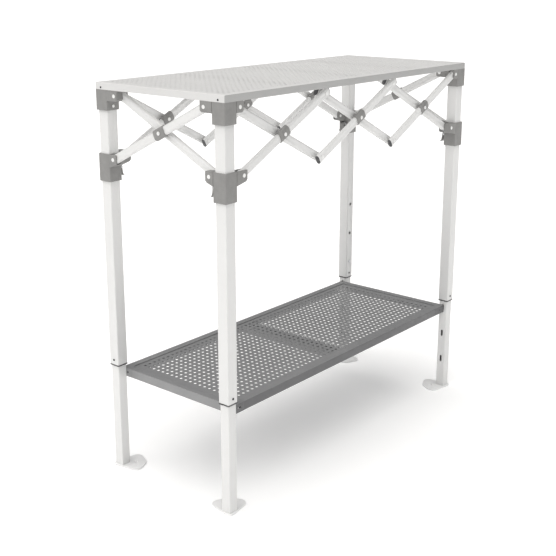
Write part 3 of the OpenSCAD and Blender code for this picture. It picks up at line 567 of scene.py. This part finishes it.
@dataclass
class PerforatedSheet:
    """Flat sheet with round holes on a square grid, modelled from one cell.

    Attributes:
        name: The piece's name.
        low: Lowest corner of the sheet, as x and y.
        high: Highest corner, as x and y.
        first: Middle of the first hole, as x and y.
        columns: Holes along X.
        rows: Holes along Y.
        top: Height of the upper face.
        thickness: Thickness of the sheet.
        pitch: Distance from hole to hole.
        hole_r: Radius of a hole.
        sides: Sides of a hole.
    """

    name: str
    low: tuple[float, float]
    high: tuple[float, float]
    first: tuple[float, float]
    columns: int
    rows: int
    top: float
    thickness: float
    pitch: float = PITCH
    hole_r: float = HOLE_R
    sides: int = 12

    def cell(self) -> bpy.types.Object:
        """Models the square cell round the first hole and returns it."""
        clear_selection()
        middle = (*self.first, self.top)
        bpy.ops.mesh.primitive_circle_add(vertices=4, radius=self.pitch / math.sqrt(2),
                                          fill_type="NOTHING", location=middle,
                                          rotation=(0, 0, math.radians(45)))
        piece = bpy.context.object
        piece.name = self.name
        bpy.ops.object.transform_apply(location=True, rotation=True, scale=True)
        bpy.ops.object.mode_set(mode="EDIT")
        bpy.ops.mesh.select_mode(type="EDGE")
        bpy.ops.mesh.select_all(action="SELECT")
        bpy.ops.mesh.subdivide(number_cuts=self.sides // 4 - 1)
        bpy.ops.mesh.primitive_circle_add(vertices=self.sides, radius=self.hole_r,
                                          fill_type="NOTHING", location=middle,
                                          rotation=(0, 0, math.radians(180 / self.sides)))
        bpy.ops.mesh.select_all(action="SELECT")
        bpy.ops.mesh.bridge_edge_loops()
        bpy.ops.object.mode_set(mode="OBJECT")
        return piece

    def repeat(self, piece: bpy.types.Object) -> None:
        """Repeats the cell over the whole grid and joins the cells."""
        for axis, count in ((0, self.columns), (1, self.rows)):
            array = piece.modifiers.new(f"grid_{axis}", "ARRAY")
            array.count = count
            array.use_relative_offset = False
            array.use_constant_offset = True
            array.constant_offset_displace = tuple(
                self.pitch if k == axis else 0.0 for k in range(3))
            array.use_merge_vertices = True
            array.merge_threshold = WELD
        apply_all(piece)

    def border(self, piece: bpy.types.Object) -> None:
        """Extends the grid's outline to the sheet's own edges."""
        for axis in (0, 1):
            for side, count, edge in ((-1, 0, self.low[axis]),
                                      (1, (self.columns, self.rows)[axis] - 1, self.high[axis])):
                line = self.first[axis] + (count + side / 2) * self.pitch
                if abs(edge - line) < 1e-6:
                    continue
                move = tuple(edge - line if k == axis else 0.0 for k in range(3))
                if (edge - line) * side > 0:
                    pick(piece, Pick.EDGES, lambda lo, hi: at(lo[axis], hi[axis], line))
                    bpy.ops.mesh.extrude_region_move(TRANSFORM_OT_translate={"value": move})
                else:
                    pick(piece, Pick.VERTS, lambda lo, hi: at(lo[axis], hi[axis], line))
                    bpy.ops.transform.translate(value=move)
                bpy.ops.object.mode_set(mode="OBJECT")

    def face_up(self, piece: bpy.types.Object) -> None:
        """Joins doubles and turns every face outwards, which is upwards on a flat sheet."""
        take(piece)
        bpy.ops.object.mode_set(mode="EDIT")
        bpy.ops.mesh.select_all(action="SELECT")
        bpy.ops.mesh.remove_doubles(threshold=WELD)
        bpy.ops.mesh.normals_make_consistent(inside=False)
        bpy.ops.object.mode_set(mode="OBJECT")
        flat = [p for p in piece.data.polygons if abs(p.normal.z) > 0.99]
        if sum(p.normal.z * p.area for p in flat) < 0:
            bpy.ops.object.mode_set(mode="EDIT")
            bpy.ops.mesh.select_all(action="SELECT")
            bpy.ops.mesh.flip_normals()
            bpy.ops.object.mode_set(mode="OBJECT")

    def thicken(self, piece: bpy.types.Object) -> None:
        """Gives the sheet its thickness, inwards from its outer face."""
        solid = piece.modifiers.new("sheet", "SOLIDIFY")
        solid.thickness = self.thickness
        solid.offset = -1.0
        solid.use_even_offset = True
        apply_all(piece)

    def build(self) -> bpy.types.Object:
        """Models the flat sheet and returns it."""
        piece = self.cell()
        self.repeat(piece)
        self.border(piece)
        self.face_up(piece)
        self.thicken(piece)
        smooth(piece, 30)
        return piece


@dataclass
class FoldedTop(PerforatedSheet):
    """Perforated sheet whose four edges are folded down.

    Attributes:
        depth: Height of the folded edge.
        fold_r: Outer radius of the fold.
        corner_r: Radius of the upright corner.
    """

    depth: float = 15 * MM
    fold_r: float = 1.8 * MM
    corner_r: float = 2.6 * MM

    def on_outline(self, low: Vector, high: Vector) -> bool:
        """Whether an element lies on the sheet's outline."""
        return any(at(low[k], high[k], edge[k]) for k in (0, 1) for edge in (self.low, self.high))

    def fold(self, piece: bpy.types.Object) -> None:
        """Folds the four edges down and rounds the folds and the upright corners."""
        pick(piece, Pick.EDGES, lambda lo, hi: self.on_outline(lo, hi) and at(lo.z, hi.z, self.top))
        bpy.ops.mesh.extrude_region_move(TRANSFORM_OT_translate={"value": (0, 0, -self.depth)})
        bpy.ops.object.mode_set(mode="OBJECT")

        def upright(low: Vector, high: Vector) -> bool:
            """Whether an edge is one of the four upright corners."""
            corner = all(min(abs(low[k] - self.low[k]), abs(low[k] - self.high[k])) < LEVEL
                         for k in (0, 1))
            return corner and high.z - low.z > self.depth / 2

        pick(piece, Pick.EDGES, upright)
        bpy.ops.mesh.bevel(offset=self.corner_r, segments=4, affect="EDGES")
        bpy.ops.object.mode_set(mode="OBJECT")
        fold = piece.modifiers.new("fold", "BEVEL")
        fold.width = self.fold_r
        fold.segments = 4
        fold.limit_method = "ANGLE"
        fold.angle_limit = math.radians(60)
        apply_all(piece)

    def build(self) -> bpy.types.Object:
        """Models the folded sheet and returns it."""
        piece = self.cell()
        self.repeat(piece)
        self.border(piece)
        self.face_up(piece)
        self.fold(piece)
        self.face_up(piece)
        self.thicken(piece)
        smooth(piece, 35)
        return piece


# ---------- sub-assemblies ----------


@dataclass
class Worktop:
    """The folded worktop, its ribs and the screws through its short edges."""

    columns: int = 60
    rows: int = 23
    sheet: float = 1.0 * MM
    screw_r: float = 2.1 * MM
    screw_h: float = 0.9 * MM
    screw_edge: float = 0.6 * MM
    screw_drop: float = 1.5 * MM
    rim_depth: float = 0.5 * MM

    def build(self) -> None:
        """Builds and dresses the worktop."""
        low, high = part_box("top_panel")
        middle = (low + high) / 2
        top = FoldedTop("worktop_sheet", (low.x, low.y), (high.x, high.y),
                        (middle.x - (self.columns - 1) / 2 * PITCH,
                         middle.y - (self.rows - 1) / 2 * PITCH),
                        self.columns, self.rows, high.z, self.sheet, depth=high.z - low.z)
        sheet = settle(top.build(), Slot.WORKTOP, "frame", "top_panel")
        # Painted shade: the long ±Y rim faces get the darker coat, standing in for the shade on
        # those sides.
        paint_side_light_and_shade(sheet, LONG_RIM_PAINTED_SHADE, 1, high.y - self.rim_depth)
        paint(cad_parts["top_ribs"], Slot.ALUMINIUM)
        self.edge_screws(low, high)

    def edge_screws(self, low: Vector, high: Vector) -> None:
        """Adds the four dark screw heads on the short edges."""
        leg_low, leg_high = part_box("upper_leg_front_left")
        inset = (leg_low.y + leg_high.y) / 2 - low.y
        screw_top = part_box("small_screws")[1].z
        for side, x in (("left", low.x), ("right", high.x)):
            for end, y in (("front", low.y + inset), ("back", high.y - inset)):
                spot = Vector((x, y, screw_top - self.screw_drop))
                head = rounded_disc(f"edge_screw_{side}_{end}", spot, self.screw_r,
                                    self.screw_h, self.screw_edge)
                if side == "right":
                    take(head)
                    bpy.ops.object.mode_set(mode="EDIT")
                    bpy.ops.mesh.select_all(action="SELECT")
                    bpy.ops.transform.rotate(value=math.pi, orient_axis="Z", center_override=spot)
                    bpy.ops.object.mode_set(mode="OBJECT")
                smooth(head)
                settle(head, Slot.SCREW, "frame")


@dataclass
class Shelf:
    """The shelf's two perforated panels, its rails, channel and corner pieces."""

    columns: int = 27
    rows: int = 20
    panel_sheet: float = 0.6 * MM
    rail_edge_mm: float = 0.9
    corner_edge_mm: float = 0.7
    face_depth: float = 0.5 * MM

    def build(self) -> None:
        """Builds and dresses the shelf."""
        for side, node in ((-1, "shelf_panel_left"), (1, "shelf_panel_right")):
            low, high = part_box(node)
            start = -self.columns * PITCH + PITCH / 2 if side < 0 else PITCH / 2
            panel = PerforatedSheet(f"{node}_sheet", (low.x, low.y), (high.x, high.y),
                                    (start, -(self.rows - 1) / 2 * PITCH), self.columns, self.rows,
                                    high.z, self.panel_sheet)
            settle(panel.build(), Slot.SHELF, "frame", node)
        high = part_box("shelf_rails")[1]
        for piece in (softened("shelf_rails", Slot.SHELF, edge_mm=self.rail_edge_mm, steps=3),
                      softened("shelf_corners", Slot.SHELF, edge_mm=self.corner_edge_mm)):
            # Painted light on the short ±X sides and painted shade on the long ±Y sides of the
            # rails and corners.
            paint_side_light_and_shade(piece, SHORT_RAIL_PAINTED_LIGHT, 0, high.x - self.face_depth)
            paint_side_light_and_shade(piece, LONG_RAIL_PAINTED_SHADE, 1, high.y - self.face_depth)
        paint(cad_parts["shelf_crossbar"], Slot.SHELF)


@dataclass
class Legs:
    """The telescopic legs with their collars, buttons and feet."""

    tube_edge_mm: float = 0.25
    foot_edge_mm: float = 1.3
    button_edge_mm: float = 0.3
    collar_edge_mm: float = 0.4

    def build(self) -> None:
        """Builds and dresses the legs."""
        foot_coat = FOOT_COAT.make()
        for corner in Corner:
            softened(f"upper_leg_{corner.value}", Slot.WHITE, edge_mm=self.tube_edge_mm)
            softened(f"lower_leg_{corner.value}", Slot.WHITE, edge_mm=self.tube_edge_mm)
            foot = softened(f"foot_{corner.value}", Slot.WHITE, edge_mm=self.foot_edge_mm, steps=3)
            foot.data.materials[0] = foot_coat
            softened(f"snap_button_{corner.value}", Slot.ZINC, f"button_{corner.value}",
                     edge_mm=self.button_edge_mm)
        softened("leg_bushings", Slot.DARK_PLASTIC, edge_mm=self.collar_edge_mm)


@dataclass
class CornerFittings:
    """The moulded brackets and sliders with their latches."""

    bracket_edge_mm: float = 1.2
    slider_edge_mm: float = 1.0
    lever_edge_mm: float = 0.7
    pin_edge_mm: float = 0.25

    def build(self) -> None:
        """Builds and dresses the fittings of each corner."""
        for corner in Corner:
            softened(f"top_bracket_{corner.value}", Slot.GREY_PLASTIC,
                     edge_mm=self.bracket_edge_mm, steps=3)
            softened(f"slider_{corner.value}", Slot.GREY_PLASTIC,
                     edge_mm=self.slider_edge_mm, steps=3)
            softened(f"latch_lever_{corner.value}", Slot.GREY_PLASTIC, f"latch_{corner.value}",
                     edge_mm=self.lever_edge_mm)
        softened("latch_pins", Slot.ZINC, edge_mm=self.pin_edge_mm)
        paint(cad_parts["latch_springs"], Slot.ZINC)


@dataclass
class Scissors:
    """The scissor bars with their sleeves, plugs and rivets."""

    bar_edge_mm: float = 0.3
    sleeve_edge_mm: float = 0.6
    plug_edge_mm: float = 0.5
    head_edge_mm: float = 0.8
    screw_edge_mm: float = 0.4

    def build(self) -> None:
        """Builds and dresses the scissor frame."""
        bars = [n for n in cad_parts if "_bar_" in n]
        for bar in bars:
            softened(bar, Slot.WHITE, edge_mm=self.bar_edge_mm)
        softened("crossing_sleeves", Slot.GREY_PLASTIC, edge_mm=self.sleeve_edge_mm)
        softened("bar_plugs", Slot.DARK_PLASTIC, edge_mm=self.plug_edge_mm)
        softened("scissor_rivets", Slot.RIVET, edge_mm=self.head_edge_mm, steps=3)
        softened("bracket_rivets", Slot.RIVET, edge_mm=self.head_edge_mm, steps=3)
        softened("small_screws", Slot.SCREW, edge_mm=self.screw_edge_mm)


# ---------- studio ----------


@dataclass
class Studio:
    """Pale floor, soft light and the camera.

    Attributes:
        spot: Place of the camera.
        azimuth: Direction it looks in, in degrees, 0 along +Y.
        elevation: How far it looks down, in degrees.
        lens_mm: Its lens on a 36 mm sensor.
        shift: Upward shift of its frame, as a share of the width.
        floor_size: Side of the floor.
        floor_drop: How far the floor lies below the feet.
        sky: Strength of the even light from all sides.
        key: Strength of the soft key light, as a share of a full even sky.
        key_towards: Direction in which the key light travels.
        key_angle: Width of the key light's disc, in degrees.
        floor_glow: Light that the floor gives off, which thins the shadows on it.
        warm: Colour of the key light.
        cool: Colour of the even light.
        floor_colour: Colour of the floor.
    """

    spot: tuple[float, float, float] = (-1.8559, -1.4809, 1.1277)
    azimuth: float = -50.27
    elevation: float = 14.72
    lens_mm: float = 64.42
    shift: float = -0.0809
    floor_size: float = 240.0
    floor_drop: float = 0.4 * MM
    sky: float = 0.30
    key: float = 0.93
    key_towards: tuple[float, float, float] = (0.34, 0.0, -0.94)
    key_angle: float = 90.0
    floor_glow: float = 0.16
    warm: Colour = (1.0, 0.984, 0.962)
    cool: Colour = (0.982, 0.99, 1.0)
    floor_colour: Colour = (0.965, 0.965, 0.965)

    def floor(self) -> None:
        """Lays the floor."""
        clear_selection()
        bpy.ops.mesh.primitive_plane_add(size=self.floor_size, location=(0, 0, -self.floor_drop))
        ground = bpy.context.object
        ground.name = "studio_floor"
        bpy.ops.object.transform_apply(location=True, rotation=True, scale=True)
        g = NodeGraph("floor_paper")
        g.set(Specular_IOR_Level=0.15, Emission_Color=(1.0, 1.0, 1.0),
              Emission_Strength=self.floor_glow)
        colour = g.blend(g.spread(g.noise(900, 2), 0.0, 1.0), self.floor_colour,
                         scaled(self.floor_colour, 0.99))
        material = g.finish(colour, g.spread(g.noise(60, 3), 0.85, 0.95),
                            g.bump(g.noise(0.8, 2), 0.02, 0.2))
        ground.data.materials.append(material)

    def light(self, name: str, towards: Vector, strength: float, angle: float) -> None:
        """Adds a distant soft light.

        Args:
            name: The light's name.
            towards: Direction in which its light travels.
            strength: Light on a surface that faces it, as a share of a full even sky.
            angle: Width of its disc in degrees, which softens its shadows.
        """
        data = bpy.data.lights.new(name, "SUN")
        data.energy = strength * math.pi
        data.color = self.warm
        data.angle = math.radians(angle)
        lamp = bpy.data.objects.new(name, data)
        lamp.rotation_euler = towards.to_track_quat("-Z", "Y").to_euler()
        lamp.location = -3 * towards
        bpy.context.scene.collection.objects.link(lamp)

    def sky_light(self) -> None:
        """Sets the even light from all sides."""
        world = bpy.data.worlds.new("studio")
        bpy.context.scene.world = world
        world.use_nodes = True
        back = world.node_tree.nodes["Background"]
        back.inputs["Color"].default_value = (*self.cool, 1.0)
        back.inputs["Strength"].default_value = self.sky

    def camera(self) -> None:
        """Sets up the camera."""
        data = bpy.data.cameras.new("studio_camera")
        data.sensor_width = 36
        data.lens = self.lens_mm
        data.shift_y = self.shift
        data.clip_start, data.clip_end = 0.05, 500
        eye = bpy.data.objects.new("studio_camera", data)
        a, e = math.radians(self.azimuth), math.radians(self.elevation)
        look = Vector((-math.sin(a) * math.cos(e), math.cos(a) * math.cos(e), -math.sin(e)))
        eye.location = self.spot
        eye.rotation_euler = look.to_track_quat("-Z", "Y").to_euler()
        bpy.context.scene.collection.objects.link(eye)
        bpy.context.scene.camera = eye

    def build(self) -> None:
        """Builds the studio."""
        self.floor()
        self.sky_light()
        self.light("key_light", Vector(self.key_towards).normalized(), self.key, self.key_angle)
        self.camera()
        bpy.context.scene.view_settings.view_transform = "Standard"


def main() -> None:
    """Builds every sub-assembly and the studio, in order."""
    logging.basicConfig(level=logging.INFO, format="%(name)s: %(message)s")
    for part in (Worktop(), Shelf(), Legs(), CornerFittings(), Scissors(), Studio()):
        part.build()
        LOG.info("%s built", type(part).__name__)
    clear_selection()


if __name__ == "__main__":
    main()
